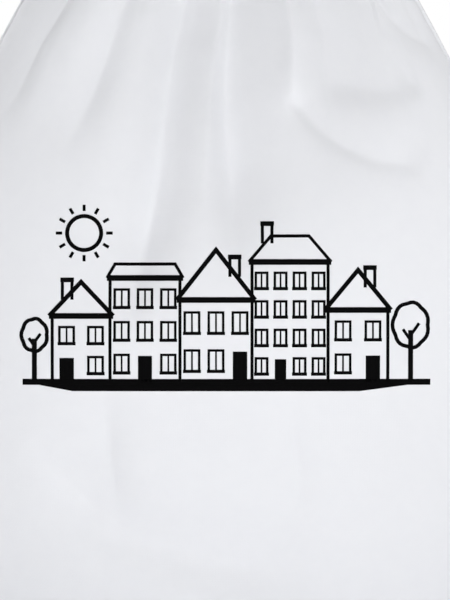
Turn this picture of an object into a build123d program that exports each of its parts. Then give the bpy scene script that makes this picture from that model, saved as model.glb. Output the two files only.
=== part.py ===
from build123d import *
import os
from collections import namedtuple
from math import asin, atan2, cos, pi, radians, sin

os.makedirs("parts", exist_ok=True)

# A cotton drawstring bag, softly filled and drawn closed, standing on its base.
# Millimetres, +Z up. The front faces -Y, and the origin is the middle of the base.

# ---- driving dimensions ----
NECK_Z = 393.0            # height of the neck, where the casing begins
BELLY_W = 174.0           # half width at the widest
BELLY_D = 60.0            # half depth at the fullest
FOLD_H = 4.0              # how far the gathered folds stand out at their highest
CLOTH_T = 1.2             # cotton cloth with its hems, as one thickness
SEAM_T = 2.4              # the two seam allowances between the panels
SEAM_W = 7.0              # how far the seam allowances reach inwards
CASING_H = 28.0           # height of the cord casing at the top
CASING_PINCH = 1.5        # how much narrower than the neck the drawstring draws the casing
CASING_FLARE = 4.0        # how much wider the casing's top edge is than its waist
PLEAT_H = 3.0             # height of the casing's pleats
PLEATS = 14               # pleats on each half of the casing
SIDE_MOUTH = 18.0         # width of the casing's open ends at each side
CORD_D = 4.0              # closing drawstring
CORD_CLEAR = 0.3          # room around the drawstring in its tunnel
CORD_INSET_W = 12.5       # drawstring's loop inside the casing's waist, across the bag
CORD_INSET_D = 9.0        # the same from front to back
MOUTH_WALL = 3.0          # cloth between the drawstring's tunnel and the puckered mouth
KNOT_L = 16.0             # knot, along the drawstring
KNOT_D = 13.0             # knot, across its middle
KNOT_NECK_D = 6.0         # knot, at its two ends
TAIL_L = 18.0             # free end of the drawstring beyond the knot
TAIL_DROP = 24.0          # how steeply the free ends hang, in degrees
EAR_REACH = 37.0          # flat bottom corner, out from the base
EAR_H = 50.0              # height of the reinforced corner
EAR_ROUND = 8.0           # rounding of the corner's tip
PATCH_T = 1.0             # reinforcing cloth on each face of the corner
EYELET_Z = 16.0           # eyelet centre above the base
EYELET_R = 5.0            # eyelet's clear hole
EYELET_WALL = 0.8         # thickness of the eyelet's metal
EYELET_FLANGE_R = 9.5     # outside of the eyelet's face and of its washer
EYELET_MARGIN = 3.0       # cloth between the eyelet's face and the corner's edge
EYELET_FIT = 0.1          # room between barrel and cloth
CUT_PAST = 2.0            # how far a cutting shape runs past what it cuts

# The body's level sections from base to neck, as shares of the neck's height, the belly's half
# width, the belly's half depth and the folds' height. round goes from 0, a pointed lens, to 1, an
# ellipse.
Section = namedtuple("Section", "z half_width half_depth round fold")
SHARES = [
    Section(0.000, 0.862, 0.500, 0.0, 0.000),
    Section(0.036, 0.920, 0.700, 0.0, 0.000),
    Section(0.153, 1.000, 0.833, 0.0, 0.000),
    Section(0.280, 0.994, 0.933, 0.0, 0.000),
    Section(0.382, 0.966, 1.000, 0.1, 0.075),
    Section(0.483, 0.902, 1.000, 0.2, 0.200),
    Section(0.611, 0.782, 0.933, 0.4, 0.500),
    Section(0.743, 0.632, 0.817, 0.6, 0.875),
    Section(0.840, 0.511, 0.717, 0.8, 1.000),
    Section(1.000, 0.287, 0.500, 1.0, 0.875),
]
SECTIONS = [Section(s.z * NECK_Z, s.half_width * BELLY_W, s.half_depth * BELLY_D, s.round,
                    s.fold * FOLD_H) for s in SHARES]

# What follows from them: the casing's waist, the drawstring's loop, the mouth and the corners.
WAIST_W = SECTIONS[-1].half_width - CASING_PINCH
WAIST_D = SECTIONS[-1].half_depth - CASING_PINCH
CORD_Z = NECK_Z + CASING_H / 2
CORD_RING_W = WAIST_W - CORD_INSET_W
CORD_RING_D = WAIST_D - CORD_INSET_D
TUNNEL_R = CORD_D / 2 + CORD_CLEAR
MOUTH_W = CORD_RING_W - TUNNEL_R - MOUTH_WALL
MOUTH_D = CORD_RING_D - TUNNEL_R - MOUTH_WALL
EAR_W = SECTIONS[0].half_width + EAR_REACH
EYELET_X = EAR_W - EYELET_MARGIN - EYELET_FLANGE_R
CORNER_T = SEAM_T + 2 * PATCH_T

# Valleys between the gathered folds, left to right: at is the place across the panel, -1 to 1,
# and depth is that valley's share of the fold.
Valley = namedtuple("Valley", "at depth")
FRONT_VALLEYS = [
    Valley(-0.78, 0.9),
    Valley(-0.41, 0.7),
    Valley(-0.15, 1.2),
    Valley(0.17, 1.0),
    Valley(0.48, 0.6),
    Valley(0.74, 0.9),
]
BACK_VALLEYS = [
    Valley(-0.70, 0.9),
    Valley(-0.44, 0.8),
    Valley(-0.20, 1.1),
    Valley(0.08, 0.8),
    Valley(0.36, 1.1),
    Valley(0.71, 0.8),
]


def section_at(z):
    """The body's section at a height, between the two nearest in the table or past its last."""
    above = next((i for i, s in enumerate(SECTIONS) if s.z >= z and i > 0), len(SECTIONS) - 1)
    low, high = SECTIONS[above - 1], SECTIONS[above]
    share = (z - low.z) / (high.z - low.z)
    return Section(*(a + share * (b - a) for a, b in zip(low, high)))


def base_point(section, at, inset):
    """A point of the section's smooth outline, moved inwards by inset, with its outward normal."""
    def outline(u):
        half = section.half_width
        rise = section.half_depth - SEAM_T / 2
        lens = 2 * atan2(rise, half)
        lens_r = half / sin(lens)
        lens_x = lens_r * sin(u * lens)
        lens_y = lens_r * (cos(u * lens) - cos(lens))
        oval_x = half * sin(u * pi / 2)
        oval_y = rise * cos(u * pi / 2)
        k = section.round
        return Vector((1 - k) * lens_x + k * oval_x,
                      -SEAM_T / 2 - (1 - k) * lens_y - k * oval_y)

    step = 1e-3
    along = (outline(at + step) - outline(at - step)).normalized()
    outward = Vector(along.Y, -along.X)
    return outline(at) - outward * inset, outward


def fold_chain(section, valleys, inset):
    """Arcs from the panel's left edge to its right, one over each fold."""
    knots = [Valley(-1.0, 0.0), *valleys, Valley(1.0, 0.0)]
    points = []
    for i, knot in enumerate(knots):
        place, outward = base_point(section, knot.at, inset)
        points.append(place - outward * (knot.depth * section.fold))
        if i + 1 < len(knots):
            ridge, outward = base_point(section, (knot.at + knots[i + 1].at) / 2, inset)
            points.append(ridge + outward * section.fold)
    lift = Vector(0, 0, section.z)
    points = [p + lift for p in points]
    return [ThreePointArc(points[i], points[i + 1], points[i + 2])
            for i in range(0, len(points) - 2, 2)]


def closed_wire(chain, *corners):
    """The chain closed by straight lines through the given corners."""
    stops = [chain[-1] @ 1, *corners, chain[0] @ 0]
    lines = [Line(stops[i], stops[i + 1]) for i in range(len(stops) - 1)]
    return Wire([*(e for c in chain for e in c.edges()), *(e for c in lines for e in c.edges())])


def outer_wire(section, valleys):
    """The panel's outside, closed along the seam plane."""
    return closed_wire(fold_chain(section, valleys, 0.0))


def inner_wire(section, valleys):
    """The panel's inside, carried past the seam plane so that it cuts the panel open there."""
    chain = fold_chain(section, valleys, CLOTH_T)
    past = SEAM_T
    left, right = chain[0] @ 0, chain[-1] @ 1
    return closed_wire(chain, Vector(right.X, past, section.z), Vector(left.X, past, section.z))


def panel(valleys):
    """One cloth panel in front of the seam plane, with its half of the flat base."""
    outside = Solid.make_loft([outer_wire(s, valleys) for s in SECTIONS], ruled=True)
    inside_sections = [section_at(CLOTH_T), *SECTIONS[1:-1], section_at(NECK_Z + CUT_PAST)]
    inside = Solid.make_loft([inner_wire(s, valleys) for s in inside_sections], ruled=True)
    return outside - inside


def mirrored(valleys):
    """The valleys as seen from the other side."""
    return [Valley(-v.at, v.depth) for v in reversed(valleys)]


def turned(shape):
    """The shape turned half round, so that a front piece becomes a back one."""
    return shape.rotate(Axis.Z, 180)


def casing_wire(z, half_width, half_depth):
    """Pleated outside of one half of the casing, closed at its open ends."""
    end = asin(SIDE_MOUTH / 2 / half_depth)

    def oval(share, out):
        turn = pi + end + share * (pi - 2 * end)
        return Vector((half_width + out) * cos(turn), (half_depth + out) * sin(turn), z)

    return closed_wire([ThreePointArc(oval(i / PLEATS, 0), oval((i + 0.5) / PLEATS, PLEAT_H),
                                      oval((i + 1) / PLEATS, 0)) for i in range(PLEATS)])


def drawstring_path(z):
    """The drawstring's loop from one end of the knot round to the other."""
    bend_right = CORD_RING_D - KNOT_L / 2
    left_middle = -CORD_RING_W + CORD_RING_D
    right_middle = CORD_RING_W - bend_right
    near = CenterArc((right_middle, -KNOT_L / 2, z), bend_right, 0, -90)
    front = Line((right_middle, -CORD_RING_D, z), (left_middle, -CORD_RING_D, z))
    left = CenterArc((left_middle, 0, z), CORD_RING_D, -90, -180)
    back = Line((left_middle, CORD_RING_D, z), (right_middle, CORD_RING_D, z))
    far = CenterArc((right_middle, KNOT_L / 2, z), bend_right, 90, -90)
    return Wire([e for run in (near, front, left, back, far) for e in run.edges()])


def tube(path, radius):
    """A round bar of the given radius along the path."""
    section = Plane(origin=path @ 0, z_dir=path % 0) * Circle(radius)
    return sweep(section, path=path)


def casing():
    """The front half of the cord casing, with the tunnel for the drawstring."""
    levels = [(NECK_Z, CASING_FLARE / 2), (CORD_Z, 0.0), (NECK_Z + CASING_H, CASING_FLARE)]
    outside = Solid.make_loft([casing_wire(z, WAIST_W + more, WAIST_D + more)
                               for z, more in levels], ruled=True)
    mouth = extrude(Plane.XY.offset(NECK_Z - CUT_PAST) * Ellipse(MOUTH_W, MOUTH_D),
                    CASING_H + 2 * CUT_PAST)
    tunnel = tube(drawstring_path(CORD_Z), TUNNEL_R)
    return outside - mouth - tunnel


def knot():
    """Square knot that ties the drawstring's two ends, with its short tails hanging outwards."""
    half = KNOT_L / 2
    barrel = make_face([Line((0, -half), (KNOT_NECK_D / 2, -half)),
                        ThreePointArc((KNOT_NECK_D / 2, -half), (KNOT_D / 2, 0),
                                      (KNOT_NECK_D / 2, half)),
                        Line((KNOT_NECK_D / 2, half), (0, half)),
                        Line((0, half), (0, -half))])
    body = Part() + revolve(barrel, Axis.Y)
    for side in (-1, 1):
        start = Vector(0, side * KNOT_L / 4, 0)
        drop = radians(TAIL_DROP)
        way = Vector(cos(drop), 0, -sin(drop))
        end = start + way * (KNOT_D / 2 + TAIL_L)
        body += tube(Wire([Line(start, end).edge()]), CORD_D / 2)
        body += Pos(end) * Sphere(CORD_D / 2)
    return Pos(CORD_RING_W, 0, CORD_Z) * body


def side_seam(sign):
    """Seam allowances between the panels, from the corner piece up to the casing."""
    levels = [section_at(EAR_H)] + [s for s in SECTIONS if s.z > EAR_H]
    outer = [(sign * s.half_width, s.z) for s in levels]
    inner = [(sign * (s.half_width - SEAM_W), s.z) for s in reversed(levels)]
    strip = make_face(Polyline(*outer, *inner, close=True))
    return extrude(Plane.XZ * strip, SEAM_T / 2, both=True)


def bottom_seam():
    """Seam allowances along the middle of the base, standing up inside the bag."""
    return Pos(0, 0, SEAM_W / 2) * Box(2 * (SECTIONS[0].half_width - SEAM_W), SEAM_T, SEAM_W)


def corner_face(edge):
    """Outline of a corner piece: the given inner edge, going up, and the rounded tip outside it."""
    tip = [(EAR_W, EYELET_Z + EYELET_FLANGE_R), (EAR_W, 0.0)]
    face = make_face(Polyline(*edge, *tip, close=True))
    return Plane.XZ * fillet(face.vertices().sort_by(Axis.X)[-2:], EAR_ROUND)


def corner_patch(sign):
    """Flat bottom corner of the bag, with reinforcing cloth on both faces and a hole."""
    levels = [section_at(z) for z in (0.0, SECTIONS[1].z, EAR_H)]
    core = [(s.half_width - SEAM_W, s.z) for s in levels] + [(levels[-1].half_width, EAR_H)]
    facing = [(s.half_width + CLOTH_T, s.z) for s in levels]
    body = extrude(corner_face(core), SEAM_T / 2, both=True)
    body += extrude(corner_face(facing), CORNER_T / 2, both=True)
    hole = Cylinder(EYELET_R + EYELET_WALL + EYELET_FIT, 2 * CORNER_T)
    body -= Pos(EYELET_X, 0, EYELET_Z) * Rot(90, 0, 0) * hole
    return body if sign > 0 else body.mirror(Plane.YZ)


def ring(inner_r, outer_r, low, high):
    """A flat ring about Z between two heights."""
    blank = Cylinder(outer_r, high - low) - Cylinder(inner_r, high - low)
    return Pos(0, 0, (low + high) / 2) * blank


def at_eyelet(sign, shape):
    """A turned piece set in its corner's hole, with its +Z side to the front."""
    return Pos(sign * EYELET_X, 0, EYELET_Z) * Rot(90, 0, 0) * shape


def eyelet(sign):
    """Metal eyelet: face at the front, barrel through the cloth and rolled rim over the washer."""
    front, back = CORNER_T / 2, -CORNER_T / 2 - EYELET_WALL
    barrel_r = EYELET_R + EYELET_WALL
    face = ring(EYELET_R, EYELET_FLANGE_R, front, front + EYELET_WALL)
    face = fillet(face.edges().group_by(Axis.Z)[-1].sort_by(SortBy.RADIUS)[-1], EYELET_WALL / 2)
    barrel = ring(EYELET_R, barrel_r, back, front)
    rim = ring(EYELET_R, (barrel_r + EYELET_FLANGE_R) / 2, back - EYELET_WALL, back)
    return at_eyelet(sign, face + barrel + rim)


def washer(sign):
    """Metal washer between the cloth's back and the eyelet's rolled rim."""
    back = -CORNER_T / 2
    inner_r = EYELET_R + EYELET_WALL + EYELET_FIT
    return at_eyelet(sign, ring(inner_r, EYELET_FLANGE_R, back - EYELET_WALL, back))


nodes = {
    "front_panel": panel(FRONT_VALLEYS),
    "back_panel": turned(panel(mirrored(BACK_VALLEYS))),
    "front_casing": casing(),
    "drawstring": tube(drawstring_path(CORD_Z), CORD_D / 2),
    "drawstring_knot": knot(),
    "bottom_seam": bottom_seam(),
}
# The tunnel is open at the knot on one side, so the back casing is the front one seen in a mirror.
nodes["back_casing"] = nodes["front_casing"].mirror(Plane.XZ)
for side, sign in (("left", -1), ("right", 1)):
    nodes["side_seam_" + side] = side_seam(sign)
    nodes["corner_patch_" + side] = corner_patch(sign)
    nodes["eyelet_" + side] = eyelet(sign)
    nodes["washer_" + side] = washer(sign)

cord_length = drawstring_path(CORD_Z).length
cord_volume = pi * (CORD_D / 2) ** 2 * cord_length
print("drawstring", round(cord_length, 1), "mm long, volume over section times length",
      round(nodes["drawstring"].volume / cord_volume, 4))

for name, shape in nodes.items():
    export_step(shape, f"parts/{name}.step")
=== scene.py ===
"""Cotton drawstring bag, drawn closed and standing on its base, with a line design on its front.

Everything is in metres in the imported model's frame: +Z up, the front facing -Y, the origin in the
middle of the base. Sizes in the classes are millimetres, and MM turns them to metres.
"""

import logging
import math
import sys
from abc import ABC, abstractmethod
from dataclasses import dataclass
from enum import Enum
from typing import Sequence

import bpy
import numpy as np
from bpy.types import Material, Mesh, Node, NodeSocket, NodeTree, Object, Scene
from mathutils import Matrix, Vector, noise
from mathutils.bvhtree import BVHTree

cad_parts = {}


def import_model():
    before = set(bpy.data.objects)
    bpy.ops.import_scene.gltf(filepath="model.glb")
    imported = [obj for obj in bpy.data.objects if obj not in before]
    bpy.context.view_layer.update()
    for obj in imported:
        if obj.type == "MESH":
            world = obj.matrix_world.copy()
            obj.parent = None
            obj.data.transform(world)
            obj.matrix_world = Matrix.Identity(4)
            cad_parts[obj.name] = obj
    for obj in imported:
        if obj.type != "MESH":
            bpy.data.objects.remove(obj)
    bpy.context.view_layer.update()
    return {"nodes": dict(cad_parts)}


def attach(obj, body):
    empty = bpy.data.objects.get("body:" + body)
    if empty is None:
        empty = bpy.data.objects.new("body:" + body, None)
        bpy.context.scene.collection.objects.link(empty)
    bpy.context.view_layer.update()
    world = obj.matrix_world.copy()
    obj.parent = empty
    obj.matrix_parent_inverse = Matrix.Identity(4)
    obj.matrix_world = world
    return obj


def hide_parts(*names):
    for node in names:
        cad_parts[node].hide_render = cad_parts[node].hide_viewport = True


MM = 0.001
BODY = "root"
LOG = logging.getLogger("drawstring_bag")

CLOTH_HALF_WIDTH = 185.0  # half of the flat cloth's width, which the weave's map follows
WHITE = (1.0, 1.0, 1.0, 1.0)
FAR = 1e9  # farther than any distance that is compared with it

Point2 = tuple[float, float]
Point3 = tuple[float, float, float]


# ---- helpers: colour, nodes, meshes


def linear(hex_colour: str) -> tuple[float, float, float, float]:
    """An sRGB hex colour as linear red, green, blue and alpha.

    Args:
        hex_colour: six hex digits after a hash sign.

    Returns:
        The linear colour with an alpha of 1.
    """
    channels = [int(hex_colour[i : i + 2], 16) / 255 for i in (1, 3, 5)]
    turned = [c / 12.92 if c <= 0.04045 else ((c + 0.055) / 1.055) ** 2.4 for c in channels]
    return (turned[0], turned[1], turned[2], 1.0)


def feed(tree: NodeTree, node: Node, inputs: dict) -> None:
    """Set or link a node's inputs.

    Args:
        tree: the node's tree.
        node: the node.
        inputs: socket name or index to a value, or to an output socket that it is linked from.
    """
    for name, value in inputs.items():
        if isinstance(value, NodeSocket):
            tree.links.new(value, node.inputs[name])
        else:
            node.inputs[name].default_value = value


def add_node(
    tree: NodeTree, kind: str, inputs: dict | None = None, **settings: object
) -> Node:
    """Add a node with its settings, input values and links.

    Args:
        tree: the tree that gets the node.
        kind: the node's type name.
        inputs: socket name or index to a value, or to an output socket that it is linked from.
        settings: properties of the node itself.

    Returns:
        The new node.
    """
    node = tree.nodes.new(kind)
    for name, value in settings.items():
        setattr(node, name, value)
    feed(tree, node, inputs or {})
    return node


def calculate(
    tree: NodeTree, operation: str, *values: float | NodeSocket
) -> NodeSocket:
    """The result of a Math node on values or sockets."""
    inputs = dict(enumerate(values))
    return add_node(tree, "ShaderNodeMath", inputs, operation=operation).outputs[0]


def new_material(name: str) -> tuple[Material, NodeTree, Node]:
    """A new material, its node tree and its Principled shader."""
    material = bpy.data.materials.new(name)
    material.use_nodes = True
    return material, material.node_tree, material.node_tree.nodes["Principled BSDF"]


def put_in_scene(name: str, data: bpy.types.ID) -> Object:
    """A new object around a mesh, curve, lamp or camera, linked to the scene.

    Args:
        name: the object's name.
        data: what it holds.

    Returns:
        The object, at the origin.
    """
    piece = bpy.data.objects.new(name, data)
    bpy.context.scene.collection.objects.link(piece)
    return piece


def evaluated_mesh(piece: Object) -> Mesh:
    """A plain mesh of a piece as its modifiers or its curve's settings make it."""
    graph = bpy.context.evaluated_depsgraph_get()
    return bpy.data.meshes.new_from_object(piece.evaluated_get(graph))


def mesh_object(
    name: str,
    points_mm: np.ndarray,
    faces: Sequence[Sequence[int]],
    uv_mm: np.ndarray | None = None,
    material: Material | None = None,
    thickness_mm: float = 0.0,
) -> Object:
    """Make a smooth-shaded mesh object at the origin from points in millimetres.

    Args:
        name: the piece's name.
        points_mm: one row of x, y, z for each vertex.
        faces: vertex indices of each face, counter-clockwise from outside.
        uv_mm: a place on the cloth for each vertex, where a pattern follows the surface.
        material: its finish.
        thickness_mm: an open sheet's thickness, added inwards by a Solidify modifier.

    Returns:
        The linked object.
    """
    mesh = bpy.data.meshes.new(name)
    mesh.from_pydata([tuple(p) for p in points_mm * MM], [], [tuple(f) for f in faces])
    mesh.polygons.foreach_set("use_smooth", [True] * len(mesh.polygons))
    if uv_mm is not None:
        layer = mesh.uv_layers.new(name="Cloth")
        corners = np.empty(len(mesh.loops), dtype=np.int64)
        mesh.loops.foreach_get("vertex_index", corners)
        layer.data.foreach_set("uv", (uv_mm[corners] * MM).ravel())
    mesh.update()
    piece = put_in_scene(name, mesh)
    if material is not None:
        mesh.materials.append(material)
    if thickness_mm > 0:
        solid = piece.modifiers.new("Cloth thickness", "SOLIDIFY")
        solid.thickness = thickness_mm * MM
        solid.offset = -1.0
    return piece


def grid_faces(rows: int, columns: int, closed: bool = False, flip: bool = False) -> np.ndarray:
    """Quads between neighbouring points of a grid that is stored row by row.

    Args:
        rows: how many rows of points.
        columns: how many points in a row.
        closed: whether the last column joins the first.
        flip: whether the faces look the other way.

    Returns:
        One row of four indices for each quad.
    """
    last = columns if closed else columns - 1
    row, column = np.meshgrid(np.arange(rows - 1), np.arange(last), indexing="ij")
    here = row * columns + column
    right = row * columns + (column + 1) % columns
    quads = np.stack([here, right, right + columns, here + columns], axis=-1).reshape(-1, 4)
    return quads[:, ::-1] if flip else quads


def cloth_map(across: np.ndarray, along: np.ndarray) -> np.ndarray:
    """Places on the cloth for a grid's points, row by row, from its columns' and rows' places."""
    return np.stack(np.meshgrid(across, along), axis=-1).reshape(-1, 2)


def run_lengths(line: np.ndarray) -> np.ndarray:
    """How far along a line each of its points lies."""
    steps = np.linalg.norm(np.diff(line, axis=0), axis=1)
    return np.concatenate([[0.0], np.cumsum(steps)])


def half_turn(points: np.ndarray, turn: float) -> np.ndarray:
    """Points as they are with a turn of 1, or turned half round the bag's middle with -1."""
    return points * np.array([turn, turn, 1])


def smooth_table(z: np.ndarray, levels: Sequence[float], values: Sequence[float]) -> np.ndarray:
    """Read a table of values by a smooth curve through its rows.

    Args:
        z: where the table is read.
        levels: the rows' rising levels.
        values: the rows' values.

    Returns:
        The value at each z.
    """
    levels, values = np.asarray(levels, float), np.asarray(values, float)
    slopes = np.gradient(values, levels)
    i = np.clip(np.searchsorted(levels, z, side="right") - 1, 0, len(levels) - 2)
    span = levels[i + 1] - levels[i]
    t = np.clip((z - levels[i]) / span, 0.0, 1.0)
    rise = values[i] * (2 * t**3 - 3 * t**2 + 1) + values[i + 1] * (3 * t**2 - 2 * t**3)
    lean = slopes[i] * (t**3 - 2 * t**2 + t) + slopes[i + 1] * (t**3 - t**2)
    return rise + lean * span


def ease(x: np.ndarray | float, low: float, high: float) -> np.ndarray:
    """A smooth step from 0 at low to 1 at high, which may run downwards."""
    t = np.clip((np.asarray(x, float) - low) / (high - low), 0.0, 1.0)
    return t * t * (3 - 2 * t)


def smooth_path(points: Sequence[Point2], steps: int = 8) -> np.ndarray:
    """A smooth line through the points, each stretch divided into equal steps."""
    p = np.asarray(points, float)
    p = np.vstack([2 * p[0] - p[1], p, 2 * p[-1] - p[-2]])
    line = []
    for i in range(1, len(p) - 2):
        t = np.linspace(0, 1, steps, endpoint=False)[:, None]
        a, b, c, d = p[i - 1], p[i], p[i + 1], p[i + 2]
        line.append(0.5 * (2 * b + (c - a) * t + (2 * a - 5 * b + 4 * c - d) * t**2
                           + (3 * b - a - 3 * c + d) * t**3))
    return np.vstack([*line, p[-2]])


def noise_field(points: np.ndarray, scale: Sequence[float], seed: float) -> np.ndarray:
    """Smooth noise at each point, with its own wavelength in millimetres along each axis."""
    at = points / np.asarray(scale, float) + seed
    return np.array([noise.noise(Vector(p)) for p in at])


# ---- the bag's form


@dataclass(frozen=True)
class Level:
    """One level section of the bag's body, in millimetres.

    Its front follows depth times (1 - (x / half_width) ** square) ** full, and arc is the angle in
    radians over which the cloth's columns are spread.
    """

    z: float
    half_width: float
    half_depth: float
    square: float
    full: float
    arc: float


@dataclass(frozen=True)
class BagForm:
    """Smooth form of the filled bag without its folds: level sections from the base to the neck."""

    neck_z: float = 393.0
    roll_z: float = 14.0
    seam_half: float = 1.2
    levels: tuple[Level, ...] = (
        Level(0.0, 150.0, 30.0, 2.6, 0.95, 0.95),
        Level(14.0, 160.0, 42.0, 2.8, 0.90, 1.00),
        Level(60.0, 174.0, 50.0, 3.1, 0.86, 1.10),
        Level(110.0, 173.5, 56.0, 3.1, 0.84, 1.12),
        Level(150.0, 168.0, 60.0, 3.1, 0.80, 1.15),
        Level(190.0, 157.0, 60.0, 3.2, 0.70, 1.18),
        Level(240.0, 136.0, 56.0, 3.6, 0.66, 1.24),
        Level(292.0, 110.0, 49.0, 3.4, 0.57, 1.34),
        Level(330.0, 89.0, 43.0, 2.8, 0.54, 1.44),
        Level(393.0, 50.0, 30.0, 2.0, 0.50, math.pi / 2),
    )

    def _read(self, z: np.ndarray, name: str) -> np.ndarray:
        """One of the levels' values at each height, along the rounded roll at the base too."""
        wall = [level for level in self.levels if level.z > 0]
        value = smooth_table(z, [w.z for w in wall], [getattr(w, name) for w in wall])
        foot = getattr(self.levels[0], name)
        turn = np.sqrt(np.clip(1 - (1 - np.clip(z, 0, self.roll_z) / self.roll_z) ** 2, 0, 1))
        return np.where(z < self.roll_z, foot + (getattr(wall[0], name) - foot) * turn, value)

    def half_width(self, z: np.ndarray) -> np.ndarray:
        """Half width of the body at each height."""
        return self._read(z, "half_width")

    def half_depth(self, z: np.ndarray) -> np.ndarray:
        """Half depth of the body at each height."""
        return self._read(z, "half_depth")

    def outline(self, u: np.ndarray, z: np.ndarray) -> tuple[np.ndarray, np.ndarray]:
        """Where the cloth lies at a share u across the panel, from -1 to 1.

        Args:
            u: share across the panel.
            z: height.

        Returns:
            x, and the distance in front of the seam plane.
        """
        half, arc = self.half_width(z), self._read(z, "arc")
        rise = self.half_depth(z) - self.seam_half
        share = np.sin(u * arc) / np.sin(arc)
        inside = np.clip(1 - np.abs(share) ** self._read(z, "square"), 0.0, 1.0)
        return half * share, self.seam_half + rise * inside ** self._read(z, "full")


class FoldKind(Enum):
    """How the cloth turns across a fold: which way, and how sharply along its line."""

    CREST = (1.0, 1.9)
    SHARP_CREST = (1.0, 1.25)
    GROOVE = (-1.0, 1.9)
    SHARP_GROOVE = (-1.0, 1.25)


@dataclass(frozen=True)
class Fold:
    """One fold of a panel, along a line of (x, z) points as seen from that panel's side.

    Its steep side lies on the right hand of someone who goes along the line.
    """

    kind: FoldKind
    depth: float
    steep: float
    gentle: float
    path: tuple[Point2, ...]
    fade_start: float = 0.12
    fade_end: float = 0.35
    taper: float = 1.0  # the fold's width at the line's end as a share of that at its start

    def height(self, x: np.ndarray, z: np.ndarray, spread: np.ndarray) -> np.ndarray:
        """How far the fold moves the cloth outwards at each point.

        Args:
            x: distance across the panel.
            z: height.
            spread: how wide folds are at each point, 1 at their written width.

        Returns:
            The move outwards, negative in a groove.
        """
        line = smooth_path(self.path)
        run = run_lengths(line)
        best = np.full(x.shape, FAR)
        side, share = np.zeros(x.shape), np.zeros(x.shape)
        for i in range(len(line) - 1):
            a, b = line[i], line[i + 1]
            way = b - a
            length = float(np.hypot(*way))
            t = np.clip(((x - a[0]) * way[0] + (z - a[1]) * way[1]) / length**2, 0, 1)
            dx, dz = x - a[0] - t * way[0], z - a[1] - t * way[1]
            gap = np.hypot(dx, dz)
            nearer = gap < best
            best = np.where(nearer, gap, best)
            side = np.where(nearer, (way[0] * dz - way[1] * dx) / length, side)
            share = np.where(nearer, (run[i] + t * length) / run[-1], share)
        along = ease(share, 0.0, self.fade_start) * ease(share, 1.0, 1.0 - self.fade_end)
        way_out, power = self.kind.value
        mixed = self.steep + (self.gentle - self.steep) * ease(side, -1.0, 1.0)
        mixed = mixed * (1 + (self.taper - 1) * share)
        d = best / (mixed * spread)
        return way_out * self.depth * np.minimum(spread, 1.0) * along * np.exp(-(d**power))


@dataclass(frozen=True)
class PleatRow:
    """Pleats of the drawn casing, which run on into the top of the panel."""

    count: int = 15
    seed: int = 5
    uneven: float = 0.34
    least_height: float = 0.55
    least_reach: float = 34.0
    more_reach: float = 60.0
    reach_power: float = 1.5  # above 1, most pleats are short
    roundness: float = 0.75  # below 1, ridges are round and valleys narrow

    def valleys(self) -> np.ndarray:
        """Places of the valleys between pleats, as shares from -1 to 1."""
        draw = np.random.default_rng(self.seed)
        widths = 1 + self.uneven * (2 * draw.random(self.count) - 1)
        ends = np.concatenate([[0.0], np.cumsum(widths)])
        return 2 * ends / ends[-1] - 1

    def heights(self) -> np.ndarray:
        """Each pleat's share of the full height, with a random but fixed unevenness."""
        draw = np.random.default_rng(self.seed + 1)
        return 1 - (1 - self.least_height) * draw.random(self.count)

    def reaches(self) -> np.ndarray:
        """How far down the panel each pleat reaches, in millimetres below the casing."""
        draw = np.random.default_rng(self.seed + 2)
        return self.least_reach + self.more_reach * draw.random(self.count) ** self.reach_power

    def shape(self, u: np.ndarray) -> tuple[np.ndarray, np.ndarray]:
        """The pleats' height at each share across, from -1 in a valley to 1 on a full ridge.

        Args:
            u: share across the panel.

        Returns:
            The height, and the number of the pleat that holds it.
        """
        cuts = self.valleys()
        i = np.clip(np.searchsorted(cuts, u, side="right") - 1, 0, self.count - 1)
        t = (u - cuts[i]) / (cuts[i + 1] - cuts[i])
        ridge = np.abs(np.sin(np.pi * np.clip(t, 0, 1))) ** self.roundness
        return 2 * ridge * self.heights()[i] - 1, i


# ---- finishes


def tone_and_relief(
    tree: NodeTree, tone: NodeSocket, relief: NodeSocket,
    colours: tuple[str, str], strength: float, relief_mm: float
) -> dict:
    """The shader inputs that two patterns lead: a colour between two tones, and a bump.

    Args:
        tree: the material's tree.
        tone: the pattern of the colour.
        relief: the pattern of the bump.
        colours: the two tones as sRGB hex colours, at the pattern's 0 and at its 1.
        strength: how strong the bump is.
        relief_mm: how high it is.

    Returns:
        Socket name to the output that it is linked from.
    """
    shade, light = (linear(colour) for colour in colours)
    mixed = add_node(tree, "ShaderNodeMix", {"Factor": tone, 6: shade, 7: light},
                     data_type="RGBA")
    bump = add_node(tree, "ShaderNodeBump",
                    {"Height": relief, "Strength": strength, "Distance": relief_mm * MM})
    return {"Base Color": mixed.outputs[2], "Normal": bump.outputs["Normal"]}


def ripple(tree: NodeTree, phase: NodeSocket) -> NodeSocket:
    """Rounded ridges side by side: the absolute sine of a phase."""
    return calculate(tree, "ABSOLUTE", calculate(tree, "SINE", phase))


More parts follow.
